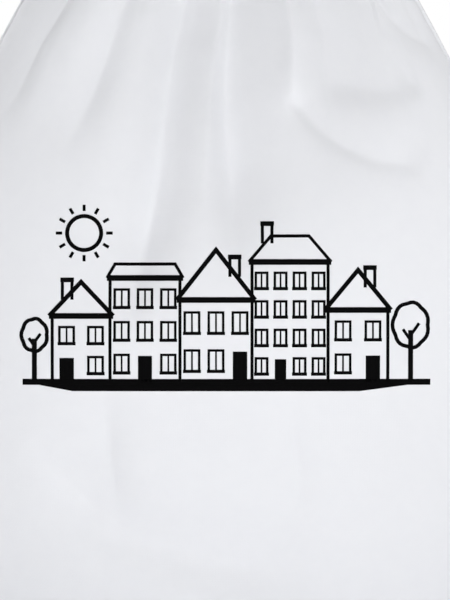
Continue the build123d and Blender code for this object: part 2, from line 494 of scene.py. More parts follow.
@dataclass(frozen=True)
class WovenCotton:
    """Bleached cotton in plain weave: matt, slightly fuzzy, with threads that swell and thin."""

    name: str = "Cotton calico, plain-woven, bleached"
    light: str = "#F0F1F4"
    shade: str = "#ECEDF1"
    thread_mm: float = 0.75  # the real 0.4 mm is too fine to show, so the weave is this coarse
    slub_mm: float = 9.0
    relief_mm: float = 0.05

    def build(self) -> Material:
        """Make the material, with its weave on the piece's own Cloth map."""
        material, tree, shader = new_material(self.name)
        place = add_node(tree, "ShaderNodeUVMap", uv_map="Cloth").outputs["UV"]
        parts = add_node(tree, "ShaderNodeSeparateXYZ", {0: place})
        rate = math.pi / (self.thread_mm * MM)
        warp, weft = (ripple(tree, calculate(tree, "MULTIPLY", parts.outputs[axis], rate))
                      for axis in ("X", "Y"))
        checks = add_node(tree, "ShaderNodeTexChecker",
                          {"Vector": place, "Scale": 1 / (self.thread_mm * MM),
                           "Color1": (0, 0, 0, 1), "Color2": (1, 1, 1, 1)})
        weave = add_node(tree, "ShaderNodeMix",
                         {"Factor": checks.outputs["Fac"], 2: warp, 3: weft}, data_type="FLOAT")
        slubs = add_node(tree, "ShaderNodeTexNoise",
                         {"Vector": place, "Scale": 1 / (self.slub_mm * MM),
                          "Detail": 4.0, "Roughness": 0.6}).outputs["Fac"]
        height = calculate(tree, "ADD", weave.outputs[0], slubs)
        feed(tree, shader, {
            **tone_and_relief(tree, slubs, height, (self.shade, self.light), 0.35,
                              self.relief_mm),
            "Roughness": 0.88, "Sheen Weight": 0.12, "Specular IOR Level": 0.25})
        return material


@dataclass(frozen=True)
class BraidedCotton:
    """Braided cotton cord: crossing strands that catch the light in small diamonds, with painted
    light on the strands' crowns and painted shade in the dips between them.
    """

    name: str = "Cotton cord, braided, bleached"
    # The two tones are painted light on the strands' crowns and painted shade in the dips between
    # them.
    light: str = "#F4F3F1"
    shade: str = "#E3E2DF"
    strands: int = 8
    pitch_mm: float = 5.0
    relief_mm: float = 0.35

    def build(self) -> Material:
        """Make the material; its map runs once round the cord in x and along it in metres in y."""
        material, tree, shader = new_material(self.name)
        place = add_node(tree, "ShaderNodeUVMap", uv_map="Cloth").outputs["UV"]
        parts = add_node(tree, "ShaderNodeSeparateXYZ", {0: place})
        # The Cloth map is in metres, and one turn round the cord is one millimetre of its x.
        around = calculate(tree, "MULTIPLY", parts.outputs["X"], self.strands * math.pi / MM)
        along = calculate(tree, "MULTIPLY", parts.outputs["Y"],
                          2 * math.pi / (self.pitch_mm * MM))
        left, right = (ripple(tree, calculate(tree, operation, along, around))
                       for operation in ("ADD", "SUBTRACT"))
        # The braid's relief also leads the tone: painted light on the strands' crowns and painted
        # shade in the dips, on a cord of one colour.
        braid_relief_and_shade = calculate(tree, "MINIMUM", left, right)
        feed(tree, shader, {
            **tone_and_relief(tree, braid_relief_and_shade, braid_relief_and_shade, (self.shade, self.light), 0.8,
                              self.relief_mm),
            "Roughness": 0.85, "Sheen Weight": 0.2})
        return material


@dataclass(frozen=True)
class GrainedFinish:
    """A finish with a fine grain in its tone, roughness and relief, on Object coordinates."""

    name: str
    light: str
    shade: str
    roughness: float
    metallic: float
    grain_mm: float
    relief_mm: float
    rough_spread: float = 0.08
    specular: float = 0.5

    def build(self) -> Material:
        """Make the material."""
        material, tree, shader = new_material(self.name)
        place = add_node(tree, "ShaderNodeTexCoord").outputs["Object"]
        stretched = add_node(tree, "ShaderNodeMapping",
                             {"Vector": place, "Scale": (1 / (self.grain_mm * MM),) * 3})
        grain = add_node(tree, "ShaderNodeTexNoise",
                         {"Vector": stretched.outputs[0], "Scale": 1.0,
                          "Detail": 5.0}).outputs["Fac"]
        rough = add_node(tree, "ShaderNodeMapRange",
                         {"Value": grain, "To Min": self.roughness - self.rough_spread,
                          "To Max": self.roughness + self.rough_spread})
        feed(tree, shader, {
            **tone_and_relief(tree, grain, grain, (self.shade, self.light), 0.4,
                              self.relief_mm),
            "Roughness": rough.outputs[0], "Metallic": self.metallic,
            "Specular IOR Level": self.specular})
        return material


# Nickel plate on pressed brass: a warm grey mirror softened by its brushed grain.
NICKEL = GrainedFinish("Nickel-plated brass, pressed", "#BCBBB8", "#9A9896", 0.26, 1.0, 0.5,
                       0.01)
# Water-based screen ink sinks into the cloth, so it is matt and takes on the weave's grain.
INK = GrainedFinish("Screen-print ink, black", "#070708", "#040404", 0.85, 0.0, 0.8,
                    0.02, specular=0.04)
# Spun polyester sewing thread: smooth, with a faint lustre.
THREAD = GrainedFinish("Polyester sewing thread, white", "#F4F4F3", "#E2E2E1", 0.55, 0.0, 0.3,
                       0.02)


@dataclass(frozen=True)
class Finishes:
    """The built materials of the object."""

    cloth: Material
    cord: Material
    metal: Material
    ink: Material
    thread: Material

    @classmethod
    def build(cls) -> "Finishes":
        """Build each material once."""
        return cls(WovenCotton().build(), BraidedCotton().build(), NICKEL.build(), INK.build(),
                   THREAD.build())


class Piece(ABC):
    """A sub-assembly that is built as one object."""

    @abstractmethod
    def build(self, finishes: Finishes) -> Object:
        """Build the piece.

        Args:
            finishes: the object's materials.

        Returns:
            The finished piece, linked to the scene.
        """


# ---- stitches by Geometry Nodes


@dataclass(frozen=True)
class Stitching:
    """A row of lockstitches along a line on the cloth."""

    spacing_mm: float = 3.4
    length_mm: float = 2.5
    thread_mm: float = 0.32

    def _tree(self, thread: Material) -> NodeTree:
        """Build the node tree that turns a line into separate stitches."""
        tree = bpy.data.node_groups.new("Stitch row", "GeometryNodeTree")
        face = tree.interface
        face.new_socket("Geometry", in_out="INPUT", socket_type="NodeSocketGeometry")
        for name in ("Spacing", "Stitch length", "Thread radius"):
            face.new_socket(name, in_out="INPUT", socket_type="NodeSocketFloat")
        face.new_socket("Geometry", in_out="OUTPUT", socket_type="NodeSocketGeometry")
        given = add_node(tree, "NodeGroupInput")
        line = add_node(tree, "GeometryNodeMeshToCurve", {"Mesh": given.outputs["Geometry"]})
        stops = add_node(tree, "GeometryNodeResampleCurve",
                         {"Curve": line.outputs[0], "Length": given.outputs["Spacing"]},
                         mode="LENGTH")
        points = add_node(tree, "GeometryNodeCurveToPoints", {"Curve": stops.outputs[0]},
                          mode="EVALUATED")
        bead = add_node(tree, "GeometryNodeMeshUVSphere",
                        {"Segments": 8, "Rings": 6, "Radius": 1.0})
        thick = given.outputs["Thread radius"]
        size = add_node(tree, "ShaderNodeCombineXYZ",
                        {"X": calculate(tree, "MULTIPLY", given.outputs["Stitch length"], 0.5),
                         "Y": thick, "Z": thick})
        turn = add_node(tree, "FunctionNodeAlignRotationToVector",
                        {"Vector": points.outputs["Tangent"]}, axis="X")
        laid = add_node(tree, "GeometryNodeInstanceOnPoints",
                        {"Points": points.outputs["Points"], "Instance": bead.outputs["Mesh"],
                         "Rotation": turn.outputs[0], "Scale": size.outputs[0]})
        real = add_node(tree, "GeometryNodeRealizeInstances", {"Geometry": laid.outputs[0]})
        shaded = add_node(tree, "GeometryNodeSetShadeSmooth", {0: real.outputs[0]})
        dyed = add_node(tree, "GeometryNodeSetMaterial",
                        {"Geometry": shaded.outputs[0], "Material": thread})
        add_node(tree, "NodeGroupOutput", {"Geometry": dyed.outputs[0]})
        return tree

    def sew(self, name: str, lines: Sequence[np.ndarray], thread: Material) -> Object:
        """Sew along lines, as one plain mesh.

        Args:
            name: the piece's name.
            lines: points of each line in millimetres, on the cloth's surface.
            thread: the stitches' material.

        Returns:
            The stitches, with no modifier left on them.
        """
        mesh = bpy.data.meshes.new(name + " line")
        edges, start = [], 0
        for line in lines:
            edges += [(start + i, start + i + 1) for i in range(len(line) - 1)]
            start += len(line)
        mesh.from_pydata([tuple(p) for p in np.vstack(lines) * MM], edges, [])
        piece = put_in_scene(name, mesh)
        rows = piece.modifiers.new("Stitch row", "NODES")
        rows.node_group = self._tree(thread)
        sizes = {"Spacing": self.spacing_mm, "Stitch length": self.length_mm,
                 "Thread radius": self.thread_mm / 2}
        for item in rows.node_group.interface.items_tree:
            if item.item_type == "SOCKET" and item.in_out == "INPUT" and item.name in sizes:
                rows[item.identifier] = sizes[item.name] * MM
        made = evaluated_mesh(piece)
        piece.modifiers.remove(rows)
        piece.data = made
        made.name = name
        return piece


# ---- the cloth panels


@dataclass(frozen=True)
class ClothPanel(Piece):
    """One side of the bag: base half, wall and gathered top, as a single sheet of cloth."""

    name: str
    turn: float  # 1 for the front, -1 for the back
    folds: tuple[Fold, ...]
    pleats: PleatRow
    seed: float
    form: BagForm = BagForm()
    columns: int = 216
    base_rows: int = 10
    roll_rows: int = 9
    wall_rows: int = 178
    tuck_in: float = 3.0
    pleat_depth: float = 3.0
    ridge: float = 1.0
    thickness: float = 0.7
    full_folds: float = 98.0  # half width of the bag below which the folds get narrower
    still: float = 26.0  # height below which the cloth lies still on the base
    narrowest_folds: float = 0.45  # their least width, as a share of the written one
    pleat_fall: float = 1.6
    # Soft drape and finer crumple: their wavelengths, and their depth at the foot and how much
    # deeper they get over the loose heights above it.
    drape_mm: Point3 = (34.0, 62.0, 1.0)
    drape: Point2 = (0.55, 0.9)
    crumple_mm: Point3 = (13.0, 21.0, 1.0)
    crumple: Point2 = (0.10, 0.22)
    loose: Point2 = (150.0, 330.0)
    held_share: float = 0.75  # how far the side seams hold the cloth flat beside them
    held_from: float = 0.88  # share across the panel where that begins
    pucker: float = 0.3
    pucker_mm: float = 9.5
    pucker_near: Point2 = (0.90, 0.985)
    pucker_end: float = 0.992
    pucker_drift: float = 2.2  # how far the waves wander in phase, and over what length
    drift_mm: float = 23.0
    pucker_fade_mm: float = 17.0
    # The panel's edge in two steps: the share of the ridge, and of the seam's half depth.
    edge_steps: tuple[Point2, ...] = ((0.5, 0.75), (1.0, 0.12))
    pucker_foot: Point2 = (20.0, 60.0)

    def _rows(self) -> tuple[np.ndarray, np.ndarray]:
        """Each row's height, and how far out on the base it lies, from 0 at the seam to 1."""
        turn = np.linspace(0, math.pi / 2, self.roll_rows)
        wall = np.linspace(self.form.roll_z, self.form.neck_z + self.tuck_in, self.wall_rows)
        base = np.linspace(0, 1, self.base_rows, endpoint=False)
        z = np.concatenate([np.zeros(self.base_rows), self.form.roll_z * (1 - np.cos(turn)),
                            wall[1:]])
        out = np.concatenate([base, np.ones(self.roll_rows + self.wall_rows - 1)])
        return z, out

    def _moves(self, u: np.ndarray, x: np.ndarray, z: np.ndarray) -> np.ndarray:
        """How far the folds, pleats and creases move the cloth outwards."""
        narrowed = self.form.half_width(z) / self.full_folds
        spread = np.clip(narrowed, self.narrowest_folds, 1.0)
        move = sum(fold.height(x, z, spread) for fold in self.folds)
        height, number = self.pleats.shape(u)
        below = np.clip(self.form.neck_z - z, 0, None)
        fall = np.clip(1 - below / self.pleats.reaches()[number], 0, 1) ** self.pleat_fall
        move = move + height * self.pleat_depth * fall
        flat = np.stack([x, z, np.zeros_like(x)], axis=-1).reshape(-1, 3)
        drape = noise_field(flat, self.drape_mm, self.seed).reshape(x.shape)
        crumple = noise_field(flat, self.crumple_mm, self.seed + 7).reshape(x.shape)
        top = ease(z, *self.loose)
        move = (move + (self.drape[0] + self.drape[1] * top) * drape
                + (self.crumple[0] + self.crumple[1] * top) * crumple)
        held = 1 - self.held_share * ease(np.abs(u), self.held_from, 1.0)
        return move * held * ease(z, 0.0, self.still)

    def _pucker(self, u: np.ndarray, z: np.ndarray) -> np.ndarray:
        """Short waves that the side seams draw into the cloth beside them."""
        drift = self.pucker_drift * np.sin(z / self.drift_mm + self.seed)
        wave = np.sin(2 * math.pi * z / self.pucker_mm + drift)
        beside = ease(np.abs(u), *self.pucker_near)
        near = beside * (1 - ease(np.abs(u), self.pucker_end, 1.0))
        start = 1.7 * self.seed + 2.0 * np.sign(u)  # another for each panel and side
        strength = 0.5 + 0.5 * np.sin(z / self.pucker_fade_mm + start)
        return self.pucker * wave * strength * near * ease(z, *self.pucker_foot)

    def _edge(self, z: np.ndarray, out: np.ndarray) -> np.ndarray:
        """Two columns of points that close the panel's right edge on to the side seam."""
        half = self.form.half_width(z)
        return np.stack([np.stack([half + self.ridge * share,
                                   -self.form.seam_half * depth * out, z], axis=-1)
                         for share, depth in self.edge_steps], axis=1)

    def build(self, finishes: Finishes) -> Object:
        """Build the panel as one sheet with thickness."""
        z_rows, out_rows = self._rows()
        u_line = np.linspace(-1, 1, self.columns)
        u, z = np.meshgrid(u_line, z_rows)
        x, y = self.form.outline(u, z)
        base = np.stack([x, -(y * out_rows[:, None]), z], axis=-1)
        normal = np.cross(np.gradient(base, axis=1), np.gradient(base, axis=0))
        normal /= np.maximum(np.linalg.norm(normal, axis=-1, keepdims=True), 1e-9)
        move = self._moves(u, x, z) + self._pucker(u, z)
        right = self._edge(z_rows, out_rows)
        left = right[:, ::-1] * np.array([-1, 1, 1])
        shape = np.concatenate([left, base + normal * move[..., None], right], axis=1)
        shape[..., 2] = np.maximum(shape[..., 2], 0.0)
        wide = np.concatenate([[-1.01, -1.005], u_line, [1.005, 1.01]]) * CLOTH_HALF_WIDTH
        uv = cloth_map(wide, run_lengths(base[:, self.columns // 2]))
        points = half_turn(shape.reshape(-1, 3), self.turn)
        faces = grid_faces(len(z_rows), len(wide))
        return mesh_object(self.name, points, faces, uv, finishes.cloth, self.thickness)


# ---- the casing and its cord


@dataclass(frozen=True)
class CasingRing(Piece):
    """One half of the cord casing: a double layer of cloth, pleated round the drawstring."""

    name: str
    turn: float
    pleats: PleatRow
    cord_half_width: float = 36.0
    cord_half_depth: float = 19.5
    reach: float = 0.80  # share of the half ring up to the open side mouths
    thickness: float = 0.8
    seed: float = 3.0
    columns: int = 300
    rows: int = 64
    lean: float = 0.006  # how far the pleats lean over, in radians for each millimetre of height
    lean_from: float = 392.0
    lean_turn: float = 2.1  # radians from one pleat to the next in how they lean, and rise
    lift_turn: float = 1.7
    flare: float = 1.28  # how much more the cloth spreads to the sides than to the front
    top_edge: Point2 = (410.0, 421.0)  # where the top edge's ups and downs begin and end
    top_lift: float = 1.1
    drop: float = 0.6
    rough_mm: Point3 = (4.0, 4.0, 9.0)
    rough: float = 0.006
    # Round the folded cloth from its outer hem over the top edge to its inner hem:
    # height, distance outside the drawstring's ring and height of the pleats.
    profile: tuple[Point3, ...] = (
        (389.0, 11.2, 2.5), (392.0, 11.2, 2.9), (396.0, 10.6, 3.1), (401.0, 9.2, 2.8),
        (406.0, 8.2, 2.5), (411.0, 9.2, 3.0), (415.0, 10.3, 3.8), (418.5, 11.0, 4.6),
        (420.3, 10.7, 4.8), (421.0, 9.7, 4.8), (420.3, 8.6, 4.8), (418.0, 7.9, 4.5),
        (414.5, 6.0, 4.0), (412.0, 2.0, 2.4), (410.3, -2.6, 1.7), (406.5, -4.9, 1.6),
        (402.0, -5.8, 1.8), (396.0, -6.2, 2.0), (391.0, -6.6, 2.0),
    )

    def surface(
        self, u: np.ndarray, z: np.ndarray, out: np.ndarray, pleat: np.ndarray
    ) -> np.ndarray:
        """Points of the pleated cloth.

        Args:
            u: share round the half ring, from -1 to 1 at the side seams.
            z: height.
            out: distance outside the drawstring's ring.
            pleat: height of the pleats.

        Returns:
            x, y, z for each point.
        """
        height, number = self.pleats.shape(u)
        lean = self.lean * (z - self.lean_from) * np.sin(number * self.lean_turn)
        angle = u * math.pi / 2 + lean * (1 - np.abs(u))
        wave = out + pleat * height
        wide = self.cord_half_width + self.flare * wave
        deep = self.cord_half_depth + wave
        lift = ease(z, *self.top_edge) * self.top_lift * np.sin(number * self.lift_turn + 1.0)
        return np.stack([wide * np.sin(angle), -deep * np.cos(angle),
                         z - self.drop + 0.5 * lift], axis=-1)

    def build(self, finishes: Finishes) -> Object:
        """Build this half of the casing as one folded sheet with thickness."""
        table = np.array(self.profile)
        run = run_lengths(table[:, :2])
        t = np.linspace(0, run[-1], self.rows)
        z, out, pleat = (np.repeat(smooth_table(t, run, column)[:, None], self.columns, axis=1)
                         for column in table.T)
        u_line = np.linspace(-self.reach, self.reach, self.columns)
        u = np.repeat(u_line[None], self.rows, axis=0)
        points = self.surface(u, z, out, pleat).reshape(-1, 3)
        grain = noise_field(points, self.rough_mm, self.seed)
        points[:, :2] *= (1 + self.rough * grain)[:, None]
        # The casing's cloth is mapped apart from the panel's, which ends below 400 mm.
        uv = cloth_map(u_line * CLOTH_HALF_WIDTH, t + 400.0)
        return mesh_object(self.name, half_turn(points, self.turn),
                           grid_faces(self.rows, self.columns), uv, finishes.cloth,
                           self.thickness)

    def hem_line(self, z: float = 394.4, proud: float = 0.25) -> np.ndarray:
        """The stitched line near the casing's lower hem, just outside the cloth."""
        table = np.array(self.profile)[:6]
        u = np.linspace(-self.reach, self.reach, 900)
        level = np.full_like(u, z)
        out = smooth_table(level, table[:, 0], table[:, 1]) + proud
        pleat = smooth_table(level, table[:, 0], table[:, 2])
        return half_turn(self.surface(u, level, out, pleat), self.turn)


def spline_line(controls: np.ndarray, steps: int) -> np.ndarray:
    """Read a NURBS spline as a line of points.

    Args:
        controls: the spline's control points in millimetres.
        steps: points for each control point.

    Returns:
        Points along the spline in millimetres, its two ends among them.
    """
    curve = bpy.data.curves.new("cord line", "CURVE")
    curve.dimensions = "3D"
    spline = curve.splines.new("NURBS")
    spline.points.add(len(controls) - 1)
    places = np.column_stack([controls * MM, np.ones(len(controls))])
    spline.points.foreach_set("co", places.ravel())
    spline.order_u = 3
    spline.use_endpoint_u = True
    spline.resolution_u = steps
    holder = put_in_scene("cord line", curve)
    read = evaluated_mesh(holder)
    line = np.array([v.co for v in read.vertices]) / MM
    bpy.data.objects.remove(holder)
    bpy.data.curves.remove(curve)
    bpy.data.meshes.remove(read)
    return line


def close_map_seam(mesh: Mesh) -> None:
    """Carry a tube's map on past its full turn, where its last column of faces meets the first.

    Args:
        mesh: the tube's mesh, whose Cloth map has one turn for each millimetre of x.
    """
    layer = mesh.uv_layers["Cloth"]
    places = np.empty(2 * len(mesh.loops))
    layer.data.foreach_get("uv", places)
    places = places.reshape(-1, 2)
    for face in mesh.polygons:
        corners = list(face.loop_indices)
        turns = places[corners, 0]
        if len(corners) == 4 and np.ptp(turns) > 0.5 * MM:
            places[corners, 0] = np.where(turns < 0.5 * MM, turns + MM, turns)
    layer.data.foreach_set("uv", places.ravel())


def tube(
    name: str, line: np.ndarray, radius: np.ndarray, around: int, material: Material
) -> Object:
    """A round tube along a line, with closed ends.

    Args:
        name: the piece's name.
        line: its points in millimetres.
        radius: its radius at each point.
        around: points round it.
        material: its finish.

    Returns:
        The tube, with a Cloth map of turns in x and millimetres in y.
    """
    tangent = np.gradient(line, axis=0)
    tangent /= np.linalg.norm(tangent, axis=1, keepdims=True)
    side = np.cross(tangent[0], [0.0, 0.0, 1.0])
    sides = []
    for way in tangent:
        side = side - way * np.dot(side, way)
        side = side / np.linalg.norm(side)
        sides.append(side)
    first = np.array(sides)
    second = np.cross(tangent, first)
    angle = np.linspace(0, 2 * math.pi, around, endpoint=False)
    ring = (np.cos(angle)[None, :, None] * first[:, None]
            + np.sin(angle)[None, :, None] * second[:, None])
    points = (line[:, None] + ring * radius[:, None, None]).reshape(-1, 3)
    faces = [tuple(f) for f in grid_faces(len(line), around, closed=True)]
    faces.append(tuple(range(around))[::-1])
    faces.append(tuple(range((len(line) - 1) * around, len(line) * around)))
    uv = cloth_map(np.arange(around) / around, run_lengths(line))
    piece = mesh_object(name, points, faces, uv, material)
    close_map_seam(piece.data)
    return piece


@dataclass(frozen=True)
class Drawstring(Piece):
    """The cord in the casing, its two ends tied in a square knot with short tails."""

    half_width: float = 35.94
    half_depth: float = 19.5
    z: float = 407.0
    radius: float = 2.0
    slack: float = 1.12  # how much looser the knot is than the table, for the cord's thickness
    tail_points: int = 5
    knot_degrees: float = 36.0  # how far round the ring each side of the knot reaches
    ring_points: int = 60
    sway: float = 0.7  # how far the ring rises and falls in its casing
    steps: int = 7  # points of the line for each control point
    around: int = 16
    # Half of the square knot: along the bag's depth, up, and outwards from the knot's middle,
    # from the tail's end, round the other half's legs and out on the standing part.
    half_knot: tuple[Point3, ...] = (
        (-6.6, -12.4, 22.4), (-6.9, -9.8, 17.6), (-7.6, -7.0, 12.0), (-8.6, -4.6, 6.8),
        (-9.2, -3.0, 1.6), (-7.6, -2.3, -1.6), (-5.0, -2.4, -2.1), (-2.6, -3.3, -0.4),
        (0.0, -4.4, 2.1), (2.4, -5.8, 2.0), (4.6, -6.1, 0.4), (6.3, -4.1, -1.5),
        (7.0, 0.0, -2.3), (6.3, 4.1, -1.5), (4.6, 6.1, 0.4), (2.4, 5.8, 2.0), (0.0, 4.4, 2.1),
        (-2.6, 3.3, -0.4), (-5.0, 2.4, -2.1), (-7.6, 2.1, -2.2),
    )

    def line(self) -> np.ndarray:
        """The whole cord's centreline, from one tail to the other, in millimetres."""
        along, up, out = (np.array(self.half_knot) * self.slack).T
        near = np.stack([self.half_width + out, along, self.z + up], axis=-1)
        far = np.stack([self.half_width - out, -along, self.z + up], axis=-1)
        far[: self.tail_points, 0] = near[: self.tail_points, 0]  # both tails hang outwards
        turn = np.radians(np.linspace(self.knot_degrees, 360 - self.knot_degrees,
                                      self.ring_points))
        ring = np.stack([self.half_width * np.cos(turn), -self.half_depth * np.sin(turn),
                         self.z + self.sway * np.sin(3 * turn)], axis=-1)
        return spline_line(np.vstack([near, ring, far[::-1]]), self.steps)

    def build(self, finishes: Finishes) -> Object:
        """Build the cord with its knot as one tube, rounded off at the two tails' ends."""
        line = self.line()
        ends = np.minimum(np.arange(len(line)), np.arange(len(line))[::-1])
        radius = self.radius * np.sqrt(np.clip(0.35 + ends / 5.0, 0.0, 1.0))
        return tube("cloth_bag_drawstring", line, radius, self.around, finishes.cord)


# ---- seams and corners


def side_name(sign: int) -> str:
    """The name of a side, as seen from the front: left for -1, right for 1."""
    return "left" if sign < 0 else "right"


def strip(
    name: str, edges: Sequence[np.ndarray], flip: bool, material: Material
) -> Object:
    """A narrow closed strip of cloth between four edges.

    Args:
        name: the piece's name.
        edges: points in millimetres along each of its four edges, in turn round the strip.
        flip: whether the edges follow each other the other way round.
        material: its finish.

    Returns:
        The strip, with a Cloth map of x and z.
    """
    rows = len(edges[0])
    last = (rows - 1) * 4
    points = np.stack(edges, axis=1).reshape(-1, 3)
    caps = [(3, 2, 1, 0), (last, last + 1, last + 2, last + 3)]
    faces = [tuple(f) for f in grid_faces(rows, 4, closed=True, flip=flip)]
    faces += [cap[:: -1 if flip else 1] for cap in caps]
    return mesh_object(name, points, faces, points[:, [0, 2]], material)


@dataclass(frozen=True)
class SideSeam(Piece):
    """Seam allowances that run up one side between the two panels, inside the bag."""

    sign: int
    form: BagForm = BagForm()
    width: float = 6.0
    inset: float = 0.4
    foot: float = 1.2
    half_thickness: float = 0.5
    ripple: float = 0.25
    ripple_length: float = 9.5
    rows: int = 160

    def build(self, finishes: Finishes) -> Object:
        """Build the allowances as a narrow closed strip."""
        z = np.linspace(self.foot, self.form.neck_z, self.rows)
        outer = self.form.half_width(z) - self.inset
        wave = self.ripple * np.sin(2 * math.pi * z / self.ripple_length)
        still = np.zeros_like(z)
        corners = ((self.width, -1, wave), (0, -1, still), (0, 1, still), (self.width, 1, wave))
        edges = [np.stack([self.sign * (outer - inwards), side * self.half_thickness + lean, z],
                          axis=-1) for inwards, side, lean in corners]
        return strip(f"side_seam_{side_name(self.sign)}_cloth", edges, self.sign < 0,
                     finishes.cloth)


@dataclass(frozen=True)
class BottomSeam(Piece):
    """Seam allowances across the middle of the base, inside the bag."""

    half_length: float = 143.0
    foot: float = 0.9
    height: float = 6.5
    half_thickness: float = 0.5
    columns: int = 120

    def build(self, finishes: Finishes) -> Object:
        """Build the allowances as a narrow closed strip."""
        x = np.linspace(-self.half_length, self.half_length, self.columns)
        wave = 0.5 * np.sin(x / 11.0) + 0.3 * np.sin(x / 5.3)
        still, low = np.zeros_like(x), np.full_like(x, self.foot)
        high = self.height + 0.3 * np.sin(x / 7.0)
        corners = ((-1, still, low), (1, still, low), (1, wave, high), (-1, wave, high))
        edges = [np.stack([x, side * self.half_thickness + lean, z], axis=-1)
                 for side, lean, z in corners]
        return strip("bottom_seam_cloth", edges, True, finishes.cloth)


@dataclass(frozen=True)
class CornerPatch(Piece):
    """One reinforced lower corner: layers of cloth stitched together round an eyelet's hole."""

    sign: int
    form: BagForm = BagForm()
    reach_x: float = 186.99
    height: float = 50.0
    tip_z: float = 25.5
    round: float = 8.0
    hole_x: float = 174.49
    hole_z: float = 16.0
    hole_r: float = 5.85
    flange_r: float = 9.9
    half_thickness: float = 2.2
    stitch_margin: float = 1.7
    stitch_pull: float = 0.45
    stitch_spread: float = 0.9
    softness: float = 0.18
    soft_from: Point2 = (11.0, 18.0)
    stitch_proud: float = 0.08
    edge_round: float = 1.1
    lap: float = 2.4  # how far the patch reaches in over the panels' edge
    top_reach: float = 0.4
    around: int = 168

    def _outline(self) -> np.ndarray:
        """The patch's outline as (x, z) points, for the right-hand corner."""
        z = np.linspace(0, self.height, 26)
        inner = np.stack([self.form.half_width(z) - self.lap, z], axis=-1)
        top_x = self.form.half_width(np.array(self.height)) + self.top_reach
        top = np.array([top_x, self.height])
        slope = np.array([self.reach_x, self.tip_z]) - top
        slope /= np.linalg.norm(slope)
        lean = math.acos(-slope[1])
        cut = self.round * math.tan(lean / 2)
        centre = np.array([self.reach_x - self.round, self.tip_z - cut])
        turn = np.linspace(lean, 0, 9)
        upper = centre + self.round * np.stack([np.cos(turn), np.sin(turn)], axis=-1)
        turn = np.linspace(0, -math.pi / 2, 12)
        lower = (np.array([self.reach_x - self.round, self.round])
                 + self.round * np.stack([np.cos(turn), np.sin(turn)], axis=-1))
        return np.vstack([inner, top[None], upper, lower])

    def _reach(self, angle: np.ndarray) -> np.ndarray:
        """Distance from the hole's middle to the outline at each angle."""
        line = self._outline() - np.array([self.hole_x, self.hole_z])
        far = np.full(angle.shape, FAR)
        for a, b in zip(line, np.roll(line, -1, axis=0)):
            way = b - a
            cross = np.cos(angle) * way[1] - np.sin(angle) * way[0]
            cross = np.where(np.abs(cross) < 1e-9, 1e-9, cross)
            r = (a[0] * way[1] - a[1] * way[0]) / cross
            t = (a[0] * np.sin(angle) - a[1] * np.cos(angle)) / cross
            good = (r > 0) & (t >= -1e-6) & (t <= 1 + 1e-6)
            far = np.where(good & (r < far), r, far)
        return far

    def _face(self, gap: np.ndarray, radius: np.ndarray, angle: np.ndarray) -> np.ndarray:
        """Half the thickness at each point, pressed at the stitches and rounded at the edge."""
        inside = np.clip(gap / self.edge_round, 0, 1)
        round_off = np.sqrt(np.clip(1 - (1 - inside) ** 2, 0, 1))
        beside = (gap - self.stitch_margin) / self.stitch_spread
        pressed = self.stitch_pull * np.exp(-beside ** 2)
        wave = np.sin(radius * 0.55 + 2 * angle)
        soft = self.softness * wave * ease(radius, *self.soft_from)
        free = ease(radius, self.flange_r, self.flange_r + 1.5)
        return (self.half_thickness - free * (pressed + soft)) * round_off

    def build(self, finishes: Finishes) -> Object:
        """Build the patch as one closed mesh with its hole."""
        angle = np.linspace(0, 2 * math.pi, self.around, endpoint=False)
        reach = self._reach(angle)
        share = np.concatenate([np.linspace(0, 0.8, 18), np.linspace(0.83, 1.0, 12)])
        radius = self.hole_r + (reach - self.hole_r)[None] * share[:, None]
        turn = np.repeat(angle[None], len(share), axis=0)
        half = self._face(reach[None] - radius, radius, turn)
        x = self.sign * (self.hole_x + radius * np.cos(turn))
        z = np.maximum(self.hole_z + radius * np.sin(turn), 0.0)
        front = np.stack([x, -half, z], axis=-1)
        back = np.stack([x, half, z], axis=-1)[:-1][::-1]
        points = np.concatenate([front, back]).reshape(-1, 3)
        # The last row of faces leads back to the first row of points, round the hole's edge.
        faces = grid_faces(2 * len(share), self.around, closed=True, flip=self.sign > 0)
        return mesh_object(f"corner_{side_name(self.sign)}_cloth", points, faces % len(points),
                           points[:, [0, 2]], finishes.cloth)

    def stitch_lines(self) -> list[np.ndarray]:
        """Lines of stitches near the edge, on the front and the back."""
        angle = np.linspace(0, 2 * math.pi, 400)
        radius = self._reach(angle) - self.stitch_margin
        keep = radius * np.cos(angle) + self.hole_x < self.reach_x
        half = self._face(np.full(angle.shape, self.stitch_margin), radius, angle)
        half = half + self.stitch_proud
        x = self.sign * (self.hole_x + radius * np.cos(angle))
        z = self.hole_z + radius * np.sin(angle)
        return [np.stack([x, y * half, z], axis=-1)[keep] for y in (-1, 1)]


# ---- the printed design


@dataclass(frozen=True)
class Stroke:
    """One printed line: its (x, z) points and its width."""

    points: tuple[Point2, ...]
    width: float = 1.25
    closed: bool = False


